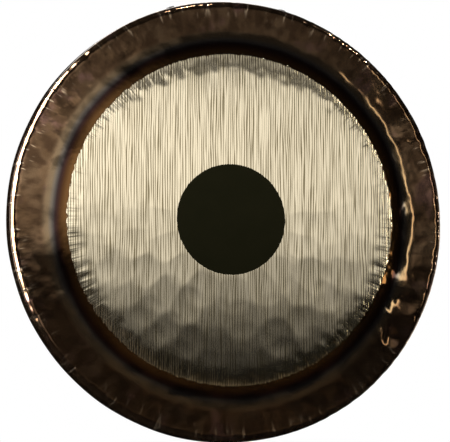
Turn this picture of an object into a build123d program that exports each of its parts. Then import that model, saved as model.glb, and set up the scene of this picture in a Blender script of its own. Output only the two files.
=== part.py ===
from build123d import *

import os
from math import cos, radians, sin

os.makedirs("parts", exist_ok=True)

# A hammered flat gong (tam-tam), 32 inches across, in millimetres.
# It hangs upright: +Z is up, the struck face looks along -Y, and the axis of the gong is Y.
# The origin is the centre of the gong's bounding box.

# Driving dimensions
inch = 25.4
gong_diameter = 32 * inch  # over the turned-back edge
sheet = 1.9  # thickness of the hammered sheet
depth = 66.0  # from the foremost point of the front to the rear edge
scraped_diameter = gong_diameter * 3 / 4  # bright scraped face
disc_diameter = gong_diameter / 4  # dark disc in the middle of the face, left unscraped
scrape = 0.2  # metal taken off by scraping
hanging_angle = 15.0  # each hanging hole, measured from the top, seen along the axis
hanging_setback = 24.0  # hanging holes, forward of the rear edge
hole_diameter = 9.5  # drilled in the turned-back edge
cord_bore = 6.5  # through each grommet, for a 5 to 6 mm cord

# How far parts of the front lie behind its foremost point, the middle of the face
crown_edge = 1.8
face_edge = 4.1
step_foot = 12.0
rim_edge = 18.8

roll_width = 24.0  # border of the face, where it rolls back
step_width = 37.0  # ring of heat colours, which steps back to the rim

# Radii at which the front changes slope
gong_radius = gong_diameter / 2
scraped_radius = scraped_diameter / 2
disc_radius = disc_diameter / 2
crown_radius = scraped_radius - roll_width  # the face rolls back outside this radius
foot_radius = scraped_radius + step_width  # the rim starts here

# Bend radii, on the front of the sheet
foot_bend = 200.0
edge_bend = 14.0

# Rubber grommet that lines each hanging hole
lip_radius = 7.6
lip = 1.7
lip_round = 0.7
groove_play = 0.2  # the groove is this much wider than the sheet

front = -depth / 2
rear = depth / 2


def face_outline(start, set_back=0.0):
    """The face's outline from a radius to its edge, set_back behind the front: a crown, then a roll back."""
    arc_radius = (crown_radius**2 + crown_edge**2) / (2 * crown_edge)

    def crown_point(radius):
        drop = arc_radius - (arc_radius**2 - radius**2) ** 0.5
        return (radius, front + drop + set_back)

    middle = (start + crown_radius) / 2
    crown = ThreePointArc(crown_point(start), crown_point(middle), crown_point(crown_radius))
    roll = TangentArc(crown @ 1, (scraped_radius, front + face_edge + set_back), tangent=crown % 1)
    return crown, roll


def hole_plane(angle):
    """The plane that touches the turned-back edge at a hanging hole and faces straight out."""
    outward = Vector(sin(radians(angle)), 0, cos(radians(angle)))
    centre = outward * gong_radius + Vector(0, rear - hanging_setback, 0)
    return Plane(origin=centre, x_dir=(0, 1, 0), z_dir=outward)


# One sheet of metal: crowned face, a step back to the rim, and the edge turned back all round
with BuildPart() as gong_plate:
    with BuildSketch():
        with BuildLine():
            crown, roll = face_outline(0)
            FilletPolyline(
                roll @ 1,
                (foot_radius, front + step_foot),
                (gong_radius, front + rim_edge),
                (gong_radius, rear),
                radius=[foot_bend, edge_bend],
            )
            offset(amount=sheet, side=Side.LEFT)
        make_face()
    revolve(axis=Axis.Y)

    # Scraping leaves the bright ring a little lower than the disc inside it and the metal round it
    with BuildSketch():
        with BuildLine():
            above, above_roll = face_outline(disc_radius, set_back=-1)
            below, below_roll = face_outline(disc_radius, set_back=scrape)
            Line(above @ 0, below @ 0)
            Line(above_roll @ 1, below_roll @ 1)
        make_face()
    revolve(axis=Axis.Y, mode=Mode.SUBTRACT)

    # Two hanging holes near the top, drilled through the turned-back edge
    with Locations(hole_plane(-hanging_angle), hole_plane(hanging_angle)):
        Hole(radius=hole_diameter / 2, depth=4 * sheet)

gong_plate.part.label = "gong_plate"
export_step(gong_plate.part, "parts/gong_plate.step")


# Each grommet is a barrel in its hole, with a rounded lip on both sides of the sheet
for name, angle in {"left_grommet": -hanging_angle, "right_grommet": hanging_angle}.items():
    hole = hole_plane(angle)
    section = Plane(origin=hole.origin, x_dir=hole.x_dir, z_dir=hole.x_dir.cross(hole.z_dir))
    middle_of_sheet = -sheet / 2
    groove = sheet + groove_play
    with BuildPart() as grommet:
        with BuildSketch(section) as profile:
            with Locations((cord_bore / 2, middle_of_sheet)):
                Rectangle(
                    lip_radius - cord_bore / 2,
                    groove + 2 * lip,
                    align=(Align.MIN, Align.CENTER),
                )
            fillet(profile.vertices(), radius=lip_round)
            with Locations((hole_diameter / 2, middle_of_sheet)):
                Rectangle(lip_radius, groove, align=(Align.MIN, Align.CENTER), mode=Mode.SUBTRACT)
        revolve(axis=Axis(hole.origin, hole.z_dir))
    grommet.part.label = name
    export_step(grommet.part, f"parts/{name}.step")
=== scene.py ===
import math

import bpy
import numpy as np
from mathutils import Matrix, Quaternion, Vector


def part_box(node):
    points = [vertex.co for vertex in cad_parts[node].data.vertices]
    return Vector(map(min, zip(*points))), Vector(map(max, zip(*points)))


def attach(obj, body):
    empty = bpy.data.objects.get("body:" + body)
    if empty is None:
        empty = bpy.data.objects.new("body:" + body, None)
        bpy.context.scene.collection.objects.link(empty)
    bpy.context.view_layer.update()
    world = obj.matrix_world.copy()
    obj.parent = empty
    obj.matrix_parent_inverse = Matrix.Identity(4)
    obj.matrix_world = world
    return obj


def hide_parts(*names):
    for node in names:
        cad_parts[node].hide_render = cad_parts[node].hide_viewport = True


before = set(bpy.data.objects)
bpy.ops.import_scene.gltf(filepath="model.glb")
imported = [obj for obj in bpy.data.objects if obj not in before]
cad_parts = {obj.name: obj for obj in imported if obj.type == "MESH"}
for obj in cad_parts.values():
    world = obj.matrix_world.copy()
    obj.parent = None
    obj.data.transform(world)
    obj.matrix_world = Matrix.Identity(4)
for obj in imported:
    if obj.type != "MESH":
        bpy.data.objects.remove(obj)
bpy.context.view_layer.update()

# ---------------------------------------------------------------- sizes, in metres
low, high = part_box("gong_plate")
GONG_RADIUS = (high.x - low.x) / 2
FRONT = low.y  # the middle of the face
REAR = high.y  # the plane of the rear edge
SHEET = 0.0019  # thickness
FACE_RADIUS = GONG_RADIUS * 3 / 4  # bright scraped face
DISC_RADIUS = GONG_RADIUS / 4  # unscraped disc
CROWN_RADIUS = FACE_RADIUS - 0.024  # the face rolls back outside this radius
FOOT_RADIUS = FACE_RADIUS + 0.044  # a step leads back to the rim, which starts here
HOLE_RADIUS = 0.00475  # hanging holes
DRILL_LENGTH = 0.03

# How far parts of the front lie behind the middle of the face
FALL = {"crown": 0.0018, "face": 0.0041, "foot": 0.0140, "rim": 0.0200}

# Radius of each bend and the number of straight pieces in it: foot of the step, then edge
BENDS = ((0.170, 6), (0.0145, 11))

# The mesh's rings
FIRST_RING = 0.006  # radius of the one round the centre point
RINGS_ON_DISC = 16
RINGS_ON_FACE = 40  # from the disc's edge to the face's
FRONT_SPACING = 0.0036  # on the step, the rim and the bend
EDGE_SPACING = 0.009  # on the turned-back edge
WIDEST_COUNT = 720  # points on a ring outside the face
RING_COUNTS = ((0.013, 45), (0.03, 90), (0.075, 180), (FACE_RADIUS - 1e-6, 360))  # up to a radius

# Rows of hammer blows: the rows' radii, and how the blows in them lie
RIM_ROWS = (0.338, 0.352, 0.367, 0.382)
RIM_BLOWS = {"spacing": 0.028, "spread": 0.005, "sizes": (0.017, 0.030), "depths": (0.0, 0.00045)}
FACE_ROWS = (0.135, 0.183, 0.231, 0.270)
FACE_BLOWS = {"spacing": 0.052, "spread": 0.006, "sizes": (0.030, 0.038), "depths": (0.0001, 0.0004)}
BORDER_ROWS = (0.286, 0.297)
BORDER_BLOWS = {"spacing": 0.017, "spread": 0.003, "sizes": (0.010, 0.014), "depths": (0.0001, 0.0006)}

# Two deeper blows at the lower right of the rim: degrees from the right, radius, size, depth
DEEP_BLOWS = ((-23, 0.368, 0.026, 0.0024), (-34.5, 0.371, 0.022, 0.0023))

# Radii between which the puckers of the bend come in and die out
CREASE_COUNT = 150
CREASES_START = (0.391, 0.4015)
CREASES_END = (0.402, 0.4058)
FAINT_CREASES_START = (0.350, 0.390)  # where they run in over the rim
EDGE_START = (0.398, 0.404)
UNEVEN_EDGE = (-0.006, 0.020)  # along Y, where the puckers die out on the turned-back edge

HEAT_WIDTH = 0.050  # ring of heat colours round the face
STROKES = 1400.0  # radians per metre across the scraping strokes, which makes them 4.5 mm apart


# ---------------------------------------------------------------- the sheet's outline
def corner_arc(before, corner, after, radius, pieces):
    """Points along the arc of a rounded corner."""
    a = before - corner
    b = after - corner
    a /= np.linalg.norm(a)
    b /= np.linalg.norm(b)
    half = math.acos(np.clip(a @ b, -1, 1)) / 2
    bisector = (a + b) / np.linalg.norm(a + b)
    centre = corner + bisector * radius / math.sin(half)
    start = corner + a * radius / math.tan(half) - centre
    sweep = math.pi - 2 * half
    turn = np.sign(a[0] * b[1] - a[1] * b[0]) * -1
    angles = np.linspace(0, sweep, pieces + 1) * turn
    c, s = np.cos(angles), np.sin(angles)
    return centre + np.stack([c * start[0] - s * start[1], s * start[0] + c * start[1]], 1)


def spaced(points, step):
    """The polyline through the points, with more points wherever two lie further apart than step."""
    out = [points[0]]
    for a, b in zip(points[:-1], points[1:]):
        count = max(1, math.ceil(np.linalg.norm(b - a) / step))
        out += [a + (b - a) * i / count for i in range(1, count + 1)]
    return np.array(out)


def face_fall(radius):
    """How far the face lies behind its middle."""
    crown = FALL["crown"] * (radius / CROWN_RADIUS) ** 2
    roll = np.clip((radius - CROWN_RADIUS) / (FACE_RADIUS - CROWN_RADIUS), 0, 1)
    crown_at_edge = FALL["crown"] * (FACE_RADIUS / CROWN_RADIUS) ** 2
    return crown + (FALL["face"] - crown_at_edge) * roll**2


def outline():
    """(radius, y) down the front of the sheet and round the edge, in rings from the centre."""
    face_radii = np.concatenate([
        np.linspace(FIRST_RING, DISC_RADIUS, RINGS_ON_DISC),
        np.linspace(DISC_RADIUS, FACE_RADIUS, RINGS_ON_FACE)[1:],
    ])
    face = np.stack([face_radii, FRONT + face_fall(face_radii)], 1)
    corners = np.array([
        face[-1],
        (FOOT_RADIUS, FRONT + FALL["foot"]),
        (GONG_RADIUS, FRONT + FALL["rim"]),
        (GONG_RADIUS, REAR),
    ])
    rounded = [corners[:1]]
    for i, (radius, pieces) in enumerate(BENDS, start=1):
        rounded.append(corner_arc(corners[i - 1], corners[i], corners[i + 1], radius, pieces))
    rounded.append(corners[-1:])
    rim = np.concatenate(rounded)
    rim = np.concatenate([spaced(rim[:-1], FRONT_SPACING), spaced(rim[-2:], EDGE_SPACING)[1:]])
    # two rings close to the edge of the face keep its corner crisp
    inside = face[-1] - (face[-1] - face[-2]) * 0.06
    outside = rim[0] + (rim[1] - rim[0]) * 0.12
    return np.concatenate([face[:-1], [inside], rim[:1], [outside], rim[1:]])


# ---------------------------------------------------------------- the sheet's hammering
def smooth_step(x, start, end):
    """0 up to start, 1 from end on, and smooth between them."""
    t = np.clip((x - start) / (end - start), 0, 1)
    return t * t * (3 - 2 * t)


def waves(angle, lobes, seed):
    """A smooth random curve round the gong, about 1 high, with up to the given number of lobes."""
    draw = np.random.default_rng(seed)
    total = np.zeros_like(angle)
    for n in range(max(2, lobes // 3), lobes + 1):
        total += draw.normal() * np.sin(n * angle + draw.uniform(0, 2 * math.pi))
    return total / math.sqrt(max(1, lobes - lobes // 3) / 2)


def near_blow(x, z, centre, size):
    """The points near a blow, and their squared distances from its centre as parts of its size."""
    cx, cz = centre
    near = np.flatnonzero((np.abs(x - cx) < size) & (np.abs(z - cz) < size))
    return near, ((x[near] - cx) ** 2 + (z[near] - cz) ** 2) / size**2


def dents(x, z, centres, sizes, depths):
    """The depth of overlapping hammer dents at each point; the deepest one counts."""
    total = np.zeros_like(x)
    for centre, size, depth in zip(centres, sizes, depths):
        near, d2 = near_blow(x, z, centre, size)
        total[near] = np.maximum(total[near], depth * (1 - d2))
    return total


def soft_dents(x, z, centres, sizes, depths):
    """The depth of smooth hammer dents that run into each other."""
    total = np.zeros_like(x)
    for centre, size, depth in zip(centres, sizes, depths):
        near, d2 = near_blow(x, z, centre, size)
        total[near] += depth * np.clip(1 - d2, 0, None) ** 2
    return total


def row_of(kind, x, z, row, draw, spacing, spread, sizes, depths):
    """The depth of a row of blows struck round the gong; kind is dents or soft_dents."""
    count = int(2 * math.pi * row / spacing)
    angles = (np.arange(count) + draw.uniform(-0.3, 0.3, count)) * 2 * math.pi / count
    radii = row + draw.uniform(-spread, spread, count)
    centres = list(zip(radii * np.cos(angles), radii * np.sin(angles)))
    return kind(x, z, centres, draw.uniform(*sizes, count), draw.uniform(*depths, count))


def puckers(angle, count, draw):
    """Radial creases round the gong, each 0 to 1 deep, of uneven width and spacing."""
    total = np.zeros_like(angle)
    middles = (np.arange(count) + draw.uniform(-0.4, 0.4, count)) * 2 * math.pi / count
    widths = draw.uniform(0.014, 0.034, count)
    depths = draw.uniform(0, 1, count)
    for middle, width, depth in zip(middles, widths, depths):
        away = np.abs((angle - middle + math.pi) % (2 * math.pi) - math.pi) / width
        near = np.flatnonzero(away < 1)
        total[near] = np.maximum(total[near], depth**1.5 * (1 - away[near] ** 2) ** 2)
    return total


def hammered(points):
    """Moves the points of the front as hammering does. points is (n, 3), and so is the result."""
    x, y, z = points.T
    radius = np.hypot(x, z)
    angle = np.arctan2(z, x)
    draw = np.random.default_rng(7)

    # the foot of the step wanders in and out
    wander = 0.0022 * waves(angle, 22, 1) + 0.0012 * waves(angle, 50, 2)
    window = smooth_step(radius, FACE_RADIUS + 0.012, FOOT_RADIUS - 0.004) * (
        1 - smooth_step(radius, FOOT_RADIUS + 0.004, FOOT_RADIUS + 0.026)
    )
    radius = radius + wander * window

    # soft blows on the rim, and two deeper ones
    depth = np.zeros_like(radius)
    for row in RIM_ROWS:
        depth += row_of(soft_dents, x, z, row, draw, **RIM_BLOWS)
    for degrees, out, size, deep in DEEP_BLOWS:
        t = math.radians(degrees)
        depth += soft_dents(x, z, [(out * math.cos(t), out * math.sin(t))], [size], [deep])

    # wide shallow blows on the face, and rows of small ones round its edge
    for row in FACE_ROWS:
        depth += row_of(dents, x, z, row, draw, **FACE_BLOWS)
    on_face = 1 - smooth_step(radius, FACE_RADIUS - 0.004, FACE_RADIUS)
    for row in BORDER_ROWS:
        depth += on_face * row_of(dents, x, z, row, draw, **BORDER_BLOWS)

    # turning the edge back puckers the bend and leaves the edge a little uneven
    creases = puckers(angle, CREASE_COUNT, draw)
    bend = smooth_step(radius, *CREASES_START)
    depth += 0.0020 * creases * bend * (1 - smooth_step(radius, *CREASES_END))
    depth += 0.0002 * creases * smooth_step(radius, *FAINT_CREASES_START) * (1 - bend)
    edge = smooth_step(radius, *EDGE_START)
    radius = radius - edge * (0.0003 + 0.0008 * creases * (1 - smooth_step(y, *UNEVEN_EDGE)))
    radius = radius - edge * 0.0003 * (1 + 0.5 * waves(angle, 24, 4))

    y = np.clip(y + depth, FRONT + 0.00005, REAR)
    scale = radius / np.maximum(np.hypot(x, z), 1e-9)
    return np.stack([x * scale, y, z * scale], 1)


# ---------------------------------------------------------------- the sheet's mesh
def points_on_ring(radius):
    """How many points a ring has. Each count is twice the one before it, so that rings join up."""
    for limit, count in RING_COUNTS:
        if radius < limit:
            return count
    return WIDEST_COUNT


def vertex_normals(points, faces):
    """Unit normals at the points, from the triangles and quads round each one."""
    normals = np.zeros_like(points)
    for size in (3, 4):
        some = np.array([face for face in faces if len(face) == size])
        first = points[some[:, 0]]
        second = points[some[:, 1]]
        third = points[some[:, 2]]
        if size == 3:
            normal = np.cross(second - first, third - first)
        else:
            normal = np.cross(third - first, points[some[:, 3]] - second)
        for k in range(size):
            np.add.at(normals, some[:, k], normal)
    return normals / np.linalg.norm(normals, axis=1, keepdims=True)


def sheet_mesh():
    """The whole sheet as one closed mesh: the hammered front, and behind it the same shape one sheet in."""
    rings = outline()
    counts = [points_on_ring(radius) for radius in rings[:, 0]]
    points = [np.array([[0.0, rings[0, 1], 0.0]])]
    starts = []
    total = 1
    for (radius, y), count in zip(rings, counts):
        angle = np.arange(count) * 2 * math.pi / count
        ring = [radius * np.cos(angle), np.full(count, y), radius * np.sin(angle)]
        points.append(np.stack(ring, 1))
        starts.append(total)
        total += count
    front = hammered(np.concatenate(points))

    faces = []
    for i in range(counts[0]):
        faces.append((0, starts[0] + i, starts[0] + (i + 1) % counts[0]))
    for a, b, n, m in zip(starts[:-1], starts[1:], counts[:-1], counts[1:]):
        for i in range(n):
            j = (i + 1) % n
            if n == m:
                faces.append((a + i, b + i, b + j, a + j))
            else:
                k = 2 * i
                faces.append((a + i, b + k, b + k + 1))
                faces.append((a + i, b + k + 1, b + (k + 2) % m, a + j))

    # the front's faces look forward
    normals = vertex_normals(front, faces)
    if normals[0, 1] > 0:
        faces = [face[::-1] for face in faces]
        normals = -normals
    back = front - normals * SHEET
    back_faces = [tuple(i + total for i in face[::-1]) for face in faces]

    # both surfaces end in the rear plane, and a ring of faces that look back joins them there
    last, count = starts[-1], counts[-1]
    outermost = np.arange(count) + last
    back[outermost, 1] = front[outermost, 1]
    edge_faces = []
    for i in range(count):
        j = (i + 1) % count
        edge_faces.append((last + i, last + j, last + j + total, last + i + total))
    vertices = np.concatenate([front, back])
    a, b, c = (vertices[k] for k in edge_faces[0][:3])
    if np.cross(b - a, c - a)[1] < 0:
        edge_faces = [face[::-1] for face in edge_faces]

    mesh = bpy.data.meshes.new("gong")
    mesh.from_pydata(vertices.tolist(), [], faces + back_faces + edge_faces)
    mesh.validate()
    for polygon in mesh.polygons:
        polygon.use_smooth = True
    # slot 0 is the front, and slot 1 the back and the rear edge
    slots = np.zeros(len(mesh.polygons), np.int32)
    slots[len(faces):] = 1
    mesh.polygons.foreach_set("material_index", slots)
    return mesh


def drill(target, node):
    """Drills the hanging hole that a grommet lines, straight through the sheet."""
    lowest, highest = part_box(node)
    centre = (lowest + highest) / 2
    outward = Vector((centre.x, 0, centre.z)).normalized()
    bpy.ops.mesh.primitive_cylinder_add(
        vertices=48, radius=HOLE_RADIUS, depth=DRILL_LENGTH, location=centre
    )
    cutter = bpy.context.object
    cutter.rotation_mode = "QUATERNION"
    cutter.rotation_quaternion = outward.to_track_quat("Z", "Y")
    modifier = target.modifiers.new("hole", "BOOLEAN")
    modifier.operation = "DIFFERENCE"
    modifier.solver = "EXACT"
    modifier.object = cutter
    bpy.context.view_layer.objects.active = target
    bpy.context.view_layer.update()
    bpy.ops.object.modifier_apply(modifier=modifier.name)
    bpy.data.objects.remove(cutter, do_unlink=True)


# ---------------------------------------------------------------- materials
class Shader:
    """A material's node tree, with short names for the nodes used here."""

    def __init__(self, name):
        self.material = bpy.data.materials.new(name)
        self.material.use_nodes = True
        self.tree = self.material.node_tree
        self.principled = self.tree.nodes["Principled BSDF"]
        self.position = self.node("ShaderNodeTexCoord").outputs["Object"]

    def node(self, kind, **settings):
        made = self.tree.nodes.new(kind)
        for key, value in settings.items():
            setattr(made, key, value)
        return made

    def plug(self, value, socket):
        """Links a socket's value, or sets a plain one."""
        if isinstance(value, bpy.types.NodeSocket):
            self.tree.links.new(value, socket)
        else:
            socket.default_value = value

    def maths(self, operation, a, b=0.0):
        made = self.node("ShaderNodeMath", operation=operation)
        self.plug(a, made.inputs[0])
        self.plug(b, made.inputs[1])
        return made.outputs[0]

    def stretched(self, x, y, z):
        """The position, scaled along each axis."""
        made = self.node("ShaderNodeVectorMath", operation="MULTIPLY")
        self.plug(self.position, made.inputs[0])
        made.inputs[1].default_value = (x, y, z)
        return made.outputs[0]

    def noise(self, vector, scale=1.0, detail=2.0, rough=0.5):
        made = self.node("ShaderNodeTexNoise")
        self.plug(vector, made.inputs["Vector"])
        made.inputs["Scale"].default_value = scale
        made.inputs["Detail"].default_value = detail
        made.inputs["Roughness"].default_value = rough
        return made.outputs["Fac"]

    def along(self, axis):
        made = self.node("ShaderNodeSeparateXYZ")
        self.plug(self.position, made.inputs[0])
        return made.outputs[axis]

    def radius(self):
        """Distance from the gong's axis."""
        made = self.node("ShaderNodeVectorMath", operation="LENGTH")
        self.plug(self.stretched(1, 0, 1), made.inputs[0])
        return made.outputs["Value"]

    def spokes(self, around, outward):
        """Coordinates in which a noise comes out drawn along the radius."""
        unit = self.node("ShaderNodeVectorMath", operation="NORMALIZE")
        self.plug(self.stretched(1, 0, 1), unit.inputs[0])
        spread = self.node("ShaderNodeVectorMath", operation="SCALE")
        self.plug(unit.outputs[0], spread.inputs[0])
        spread.inputs["Scale"].default_value = around
        lift = self.node("ShaderNodeCombineXYZ")
        self.plug(self.maths("MULTIPLY", self.radius(), outward), lift.inputs["Y"])
        total = self.node("ShaderNodeVectorMath", operation="ADD")
        self.plug(spread.outputs[0], total.inputs[0])
        self.plug(lift.outputs[0], total.inputs[1])
        return total.outputs[0]

    def step(self, value, start, end):
        """0 up to start, 1 from end on, and smooth between them."""
        made = self.node("ShaderNodeMapRange", interpolation_type="SMOOTHSTEP")
        self.plug(value, made.inputs["Value"])
        made.inputs["From Min"].default_value = start
        made.inputs["From Max"].default_value = end
        return made.outputs["Result"]

    def remap(self, value, start, end, to_start, to_end):
        made = self.node("ShaderNodeMapRange")
        self.plug(value, made.inputs["Value"])
        made.inputs["From Min"].default_value = start
        made.inputs["From Max"].default_value = end
        made.inputs["To Min"].default_value = to_start
        made.inputs["To Max"].default_value = to_end
        return made.outputs["Result"]

    def ramp(self, value, stops):
        made = self.node("ShaderNodeValToRGB")
        self.plug(value, made.inputs["Fac"])
        elements = made.color_ramp.elements
        elements.remove(elements[1])
        for i, (place, colour) in enumerate(stops):
            element = elements[0] if i == 0 else elements.new(place)
            element.position = place
            element.color = (*colour, 1)
        return made.outputs["Color"]

    def mix(self, factor, a, b):
        """A mix of two colours, each a socket or (red, green, blue)."""
        made = self.node("ShaderNodeMix", data_type="RGBA")
        self.plug(factor, made.inputs["Factor"])
        for value, socket in ((a, made.inputs[6]), (b, made.inputs[7])):
            self.plug(value if isinstance(value, bpy.types.NodeSocket) else (*value, 1), socket)
        return made.outputs[2]

    def blend(self, factor, a, b):
        """A mix of two numbers, each a socket or plain."""
        made = self.node("ShaderNodeMix", data_type="FLOAT")
        self.plug(factor, made.inputs["Factor"])
        self.plug(a, made.inputs[2])
        self.plug(b, made.inputs[3])
        return made.outputs[0]

    def bump(self, height, distance, normal=None):
        made = self.node("ShaderNodeBump")
        self.plug(height, made.inputs["Height"])
        made.inputs["Strength"].default_value = 1.0
        made.inputs["Distance"].default_value = distance
        if normal is not None:
            self.plug(normal, made.inputs["Normal"])
        return made.outputs["Normal"]


# Heat colours from the edge of the face outward: place in the ring, colour
HEAT_STOPS = (
    (0.00, (0.090, 0.045, 0.016)),
    (0.12, (0.080, 0.040, 0.015)),
    (0.24, (0.050, 0.023, 0.009)),
    (0.34, (0.030, 0.014, 0.010)),
    (0.42, (0.024, 0.014, 0.014)),
    (0.50, (0.050, 0.043, 0.040)),
    (0.58, (0.096, 0.080, 0.064)),
    (0.68, (0.128, 0.092, 0.056)),
    (1.00, (0.125, 0.080, 0.045)),
)


def front_metal():
    """Scraped face, centre disc, heat colours and blackened rim, all on one sheet."""
    s = Shader("gong_front")
    radius = s.radius()

    # the ragged edge that scraping leaves
    teeth = s.noise(s.stretched(420, 420, 90), detail=2)
    nibbles = s.noise(s.position, scale=130, detail=1)
    ragged = s.maths("ADD", radius, s.remap(teeth, 0.3, 0.7, -0.0016, 0.0016))
    ragged = s.maths("ADD", ragged, s.remap(nibbles, 0.3, 0.7, -0.0012, 0.0012))
    outside = s.step(ragged, FACE_RADIUS - 0.0004, FACE_RADIUS + 0.0004)
    disc_ragged = s.maths("ADD", radius, s.remap(teeth, 0.3, 0.7, -0.0006, 0.0006))
    off_disc = s.step(disc_ragged, DISC_RADIUS - 0.0004, DISC_RADIUS + 0.0004)
    in_disc = s.maths("SUBTRACT", 1.0, off_disc)

    # scraped metal: upright strokes
    drift = s.maths("MULTIPLY", s.noise(s.stretched(35, 35, 5), detail=2), 14.0)
    jitter = s.maths("MULTIPLY", s.noise(s.stretched(170, 170, 10), detail=1), 5.0)
    across = s.maths("MULTIPLY", s.along("X"), STROKES)
    pitch = s.maths("SINE", s.maths("ADD", across, s.maths("ADD", drift, jitter)))
    strokes = s.noise(s.stretched(480, 480, 13), detail=1)
    broad = s.noise(s.stretched(60, 60, 9), detail=2)
    lines = s.maths("ADD", strokes, s.maths("MULTIPLY", pitch, 0.22))
    dark_lines = s.remap(lines, 0.42, 0.74, 0.0, 1.0)
    bright = s.mix(broad, (0.93, 0.84, 0.66), (0.83, 0.74, 0.56))
    scraped = s.mix(dark_lines, bright, (0.24, 0.20, 0.12))

    # heat colours round the scraped face
    wobble = s.noise(s.position, scale=9, detail=2)
    tint_radius = s.maths("ADD", radius, s.remap(wobble, 0.3, 0.7, -0.0015, 0.0015))
    place = s.remap(tint_radius, FACE_RADIUS, FACE_RADIUS + HEAT_WIDTH, 0.0, 1.0)
    heat = s.ramp(place, HEAT_STOPS)

    # blackened rim with soft patches and smudges, and pale ticks near the bend that are painted highlights,
    # where dents would catch a lamp above
    patches = s.noise(s.position, scale=14, detail=3, rough=0.55)
    rosy = s.noise(s.position, scale=22, detail=2)
    rim = s.mix(s.step(patches, 0.35, 0.65), (0.095, 0.056, 0.030), (0.135, 0.086, 0.050))
    rim = s.mix(s.step(rosy, 0.52, 0.75), rim, (0.150, 0.084, 0.066))
    smudges = s.noise(s.spokes(20, 30), detail=2)
    # painted highlights: short radial streaks near the bend
    painted_highlight_ticks = s.noise(s.spokes(60, 30), detail=1)
    near_bend = s.step(radius, 0.372, 0.396)
    rim = s.mix(s.step(smudges, 0.34, 0.62), (0.062, 0.036, 0.020), rim)
    # the painted highlights are mixed into the rim's colour as pale ticks near the bend
    rim = s.mix(s.maths("MULTIPLY", s.step(painted_highlight_ticks, 0.62, 0.72), near_bend), rim, (0.45, 0.34, 0.24))
    oxide = s.mix(s.step(place, 0.75, 1.0), heat, rim)

    grain = s.noise(s.position, scale=25, detail=3)
    disc = s.mix(grain, (0.0125, 0.0128, 0.0062), (0.0178, 0.0169, 0.0085))
    colour = s.mix(outside, scraped, oxide)
    colour = s.mix(in_disc, colour, disc)
    s.plug(colour, s.principled.inputs["Base Color"])
    s.plug(s.blend(outside, 1.0, 0.982), s.principled.inputs["Metallic"])

    smooth = s.remap(patches, 0.3, 0.7, 0.085, 0.12)
    smooth = s.blend(s.step(radius, 0.318, 0.345), 0.05, smooth)
    rough = s.blend(outside, s.remap(dark_lines, 0, 1, 0.13, 0.18), smooth)
    rough = s.blend(in_disc, rough, 0.36)
    s.plug(rough, s.principled.inputs["Roughness"])

    # relief: strokes and a frilled border on the bare metal, hammer marks and smudges on the rim
    bare = s.maths("SUBTRACT", 1.0, s.maths("MAXIMUM", outside, in_disc))
    normal = s.bump(s.maths("MULTIPLY", lines, bare), 0.00016)
    frill = s.noise(s.spokes(48, 4), detail=1)
    frilled = s.maths("MULTIPLY", bare, s.step(radius, 0.276, 0.302))
    normal = s.bump(s.maths("MULTIPLY", frill, frilled), 0.0004, normal)
    peen = s.noise(s.position, scale=55, detail=1)
    normal = s.bump(s.maths("MULTIPLY", peen, outside), 0.0003, normal)
    normal = s.bump(s.maths("MULTIPLY", smudges, s.step(radius, 0.345, 0.360)), 0.0004, normal)
    s.plug(normal, s.principled.inputs["Normal"])
    return s.material


def back_metal():
    """Blackened, unpolished back."""
    s = Shader("gong_back")
    patches = s.noise(s.position, scale=12, detail=4, rough=0.6)
    colour = s.mix(s.step(patches, 0.35, 0.65), (0.07, 0.048, 0.030), (0.13, 0.088, 0.058))
    s.plug(colour, s.principled.inputs["Base Color"])
    s.principled.inputs["Metallic"].default_value = 1.0
    s.plug(s.remap(patches, 0.3, 0.7, 0.38, 0.50), s.principled.inputs["Roughness"])
    normal = s.bump(s.noise(s.position, scale=45, detail=2), 0.0012)
    s.plug(normal, s.principled.inputs["Normal"])
    return s.material


def rubber():
    """Matt black rubber."""
    s = Shader("grommet_rubber")
    grain = s.noise(s.position, scale=900, detail=3)
    colour = s.mix(grain, (0.018, 0.018, 0.019), (0.035, 0.034, 0.034))
    s.plug(colour, s.principled.inputs["Base Color"])
    s.plug(s.remap(grain, 0.3, 0.7, 0.55, 0.75), s.principled.inputs["Roughness"])
    s.plug(s.bump(grain, 0.0001), s.principled.inputs["Normal"])
    return s.material


# ---------------------------------------------------------------- the gong
gong = bpy.data.objects.new("gong_sheet", sheet_mesh())
bpy.context.scene.collection.objects.link(gong)
gong.data.materials.append(front_metal())
gong.data.materials.append(back_metal())

for node in ("left_grommet", "right_grommet"):
    drill(gong, node)
    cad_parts[node].data.materials.clear()
    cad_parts[node].data.materials.append(rubber())
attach(gong, "root")
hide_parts("gong_plate")

# ---------------------------------------------------------------- studio
FLOOR_HALF = 40.0
FLOOR_HEIGHT = -1.55
CARD_DISTANCE = 1.9  # in front of the gong
COOL = (1.0, 0.98, 0.97)
NEUTRAL = (1.0, 0.98, 0.95)
TOP_WHITE = (1.0, 0.97, 0.95)
LOW_WHITE = (1.0, 0.97, 0.92)
SIDE_WHITE = (1.0, 0.97, 0.91)
REAR_WHITE = (1.0, 0.96, 0.90)
FRONT_WHITE = (1.0, 0.965, 0.89)
UPPER_WHITE = (1.0, 0.96, 0.88)
GLINT_GOLD = (1.0, 0.92, 0.74)
PALE_AMBER = (1.0, 0.84, 0.66)
AMBER = (1.0, 0.80, 0.55)


def aim(thing, target=(0, 0, 0)):
    """Turns a lamp or a camera to look at a point."""
    direction = Vector(target) - thing.location
    thing.rotation_mode = "QUATERNION"
    thing.rotation_quaternion = direction.to_track_quat("-Z", "Y")


def around(azimuth, elevation, distance):
    """A place round the gong: azimuth 0 is in front of it and 90 to its right."""
    a, e = math.radians(azimuth), math.radians(elevation)
    return Vector((math.sin(a) * math.cos(e), -math.cos(a) * math.cos(e), math.sin(e))) * distance


def rolled(lamp, degrees):
    """Turns a softbox about its own axis; its top leans to the left as seen from the front."""
    roll = Quaternion((0, 0, 1), math.radians(degrees))
    lamp.rotation_quaternion = lamp.rotation_quaternion @ roll
    return lamp


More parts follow.
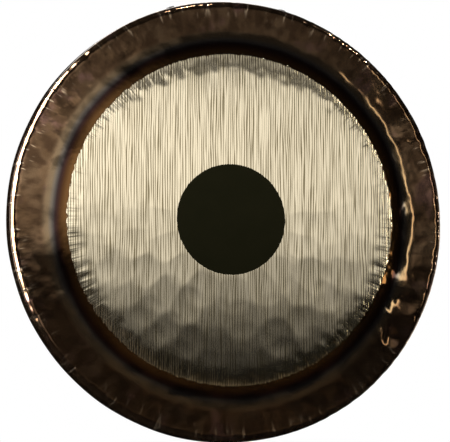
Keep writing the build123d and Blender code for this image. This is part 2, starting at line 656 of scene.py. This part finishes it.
def softbox(name, azimuth, elevation, distance, width, height, power, colour=(1, 1, 1)):
    """A rectangular light that faces the middle of the gong."""
    light = bpy.data.lights.new(name, "AREA")
    light.shape = "RECTANGLE"
    light.size = width
    light.size_y = height
    light.energy = power
    light.color = colour
    lamp = bpy.data.objects.new(name, light)
    lamp.location = around(azimuth, elevation, distance)
    aim(lamp)
    lamp.visible_camera = False
    bpy.context.scene.collection.objects.link(lamp)
    return lamp


def card(name, x, z, width, height, level, colour, roll=0.0, back=0.0):
    """A softbox in front of the gong, parallel to it; level is its power per square metre.

    Cards that overlap stand at different depths, because one would hide another in the same plane.
    """
    power = level * width * height
    lamp = softbox(name, 0, 0, CARD_DISTANCE, width, height, power, colour)
    lamp.location = (x, -CARD_DISTANCE - back, z)
    return rolled(lamp, roll)


def soften(lamp, left, right, bottom, top):
    """Fades a softbox toward its borders; each width is a part of its side."""
    lamp.data.use_nodes = True
    tree = lamp.data.node_tree
    place = tree.nodes.new("ShaderNodeNewGeometry").outputs["Parametric"]
    split = tree.nodes.new("ShaderNodeSeparateXYZ")
    tree.links.new(place, split.inputs[0])
    glow = None
    for axis, start, end in (("X", 0, left), ("X", 1, 1 - right), ("Y", 0, bottom), ("Y", 1, 1 - top)):
        if start == end:
            continue
        fade = tree.nodes.new("ShaderNodeMapRange")
        fade.interpolation_type = "SMOOTHSTEP"
        tree.links.new(split.outputs[axis], fade.inputs["Value"])
        fade.inputs["From Min"].default_value = start
        fade.inputs["From Max"].default_value = end
        product = tree.nodes.new("ShaderNodeMath")
        product.operation = "MULTIPLY"
        tree.links.new(fade.outputs["Result"], product.inputs[0])
        product.inputs[1].default_value = 1.0
        if glow is not None:
            tree.links.new(glow, product.inputs[1])
        glow = product.outputs[0]
    tree.links.new(glow, tree.nodes["Emission"].inputs["Strength"])


def pale_floor():
    """A wide, plain floor. Its reflection is left out of the metal."""
    half, height = FLOOR_HALF, FLOOR_HEIGHT
    mesh = bpy.data.meshes.new("pale_floor")
    corners = [(-half, -half, height), (half, -half, height), (half, half, height), (-half, half, height)]
    mesh.from_pydata(corners, [], [(0, 1, 2, 3)])
    floor = bpy.data.objects.new("pale_floor", mesh)
    s = Shader("pale_floor")
    s.principled.inputs["Base Color"].default_value = (0.97, 0.97, 0.97, 1)
    s.principled.inputs["Roughness"].default_value = 0.9
    mesh.materials.append(s.material)
    floor.visible_glossy = False
    bpy.context.scene.collection.objects.link(floor)


pale_floor()

# one strong light at the left, for the long highlight on the bend
soften(softbox("key_strip", -89, 13, 2.6, 1.5, 4.6, 980, COOL), 0.15, 0.15, 0.28, 0)

# cards in front, which the face and the rim mirror: name, x, z, width, height, level, colour
soften(
    card("front_panel", -0.225, 0.25, 3.25, 0.82, 3.0, FRONT_WHITE, roll=-1.5),
    0.10, 0.12, 0.54, 0.10,
)
soften(
    card("front_left_card", -0.45, 0.25, 2.8, 0.82, 1.4, FRONT_WHITE, roll=-1.5, back=0.02),
    0.10, 0.50, 0.54, 0.10,
)
soften(
    card("front_right_card", 1.35, 0.25, 0.8, 0.82, 0.6, FRONT_WHITE, back=0.04),
    0.40, 0.20, 0.54, 0.10,
)
soften(
    card("upper_panel", 0.1, 1.10, 3.0, 0.80, 1.15, UPPER_WHITE, roll=-4, back=0.06),
    0.15, 0.35, 0.3, 0.5,
)
soften(
    card("left_panel", -0.87, 0.65, 1.05, 1.6, 2.2, SIDE_WHITE, roll=-23, back=0.08),
    0.1, 0.3, 0.15, 0.15,
)
soften(
    card("corner_card", -0.35, 0.80, 0.9, 0.66, 2.0, SIDE_WHITE, back=0.10),
    0.3, 0.3, 0.3, 0.3,
)
soften(
    card("low_card", 0.07, -0.86, 3.4, 0.84, 0.5, AMBER, back=0.02),
    0.3, 0.3, 0.5, 0.5,
)
soften(
    card("low_left_card", -0.35, -0.38, 1.1, 0.50, 0.25, PALE_AMBER, back=0.04),
    0.3, 0.3, 0.4, 0.4,
)

# narrow strips and lamps, for the glints and the ticks on the rim
softbox("glint_strip", 41.2, 3.2, 3.08, 0.16, 0.95, 3.7, GLINT_GOLD)
upper_glint = softbox("upper_glint_strip", 36.5, 18.7, 3.02, 0.14, 0.80, 2.4, GLINT_GOLD)
soften(rolled(upper_glint, 38), 0, 0, 0, 0.4)
softbox("right_lamp", 96, 4, 2.6, 0.12, 0.12, 4, NEUTRAL)
softbox("upper_right_lamp", 70, 48, 2.6, 0.12, 0.12, 32, NEUTRAL)
softbox("top_lamp", 10, 84, 2.4, 0.3, 0.16, 14, TOP_WHITE)

# for the other sides: one card at the right, one low on the left, and three behind the gong
soften(softbox("right_side_card", 95, 0, 3.0, 1.4, 2.6, 4.5, REAR_WHITE), 0.4, 0.4, 0.3, 0.3)
soften(softbox("left_low_card", -45, -20, 2.9, 2.0, 1.1, 9, LOW_WHITE), 0.4, 0.4, 0.4, 0.4)
soften(softbox("rear_left_card", 230, 5, 3.2, 2.6, 2.8, 55, REAR_WHITE), 0.3, 0.3, 0.3, 0.3)
soften(softbox("rear_right_card", 130, -6, 3.2, 2.6, 2.4, 50, REAR_WHITE), 0.3, 0.3, 0.3, 0.3)
soften(softbox("rear_top_card", 180, 38, 3.2, 3.0, 1.6, 60, NEUTRAL), 0.3, 0.3, 0.3, 0.3)

# light for the floor, which the metal doesn't mirror
room_light = softbox("room_light", 0, 80, 5.0, 6, 6, 1200)
room_light.visible_glossy = False

world = bpy.data.worlds.new("studio")
world.use_nodes = True
world.node_tree.nodes["Background"].inputs["Color"].default_value = (1, 1, 1, 1)
world.node_tree.nodes["Background"].inputs["Strength"].default_value = 1.0
world.cycles_visibility.glossy = False
bpy.context.scene.world = world
bpy.context.scene.view_settings.view_transform = "Standard"

# ---------------------------------------------------------------- camera
VIEW_AZIMUTH = -13
VIEW_ELEVATION = -5
VIEW_DISTANCE = 8.0
VIEW_WIDTH = 0.826  # how much the picture takes in at the gong
AIM_POINT = (-0.004, 0.0, 0.0)
SENSOR_WIDTH = 36  # millimetres
camera_data = bpy.data.cameras.new("camera")
camera = bpy.data.objects.new("camera", camera_data)
bpy.context.scene.collection.objects.link(camera)
camera.location = around(VIEW_AZIMUTH, VIEW_ELEVATION, VIEW_DISTANCE)
aim(camera, AIM_POINT)
camera_data.sensor_width = SENSOR_WIDTH
camera_data.lens = SENSOR_WIDTH * VIEW_DISTANCE / VIEW_WIDTH
bpy.context.scene.camera = camera
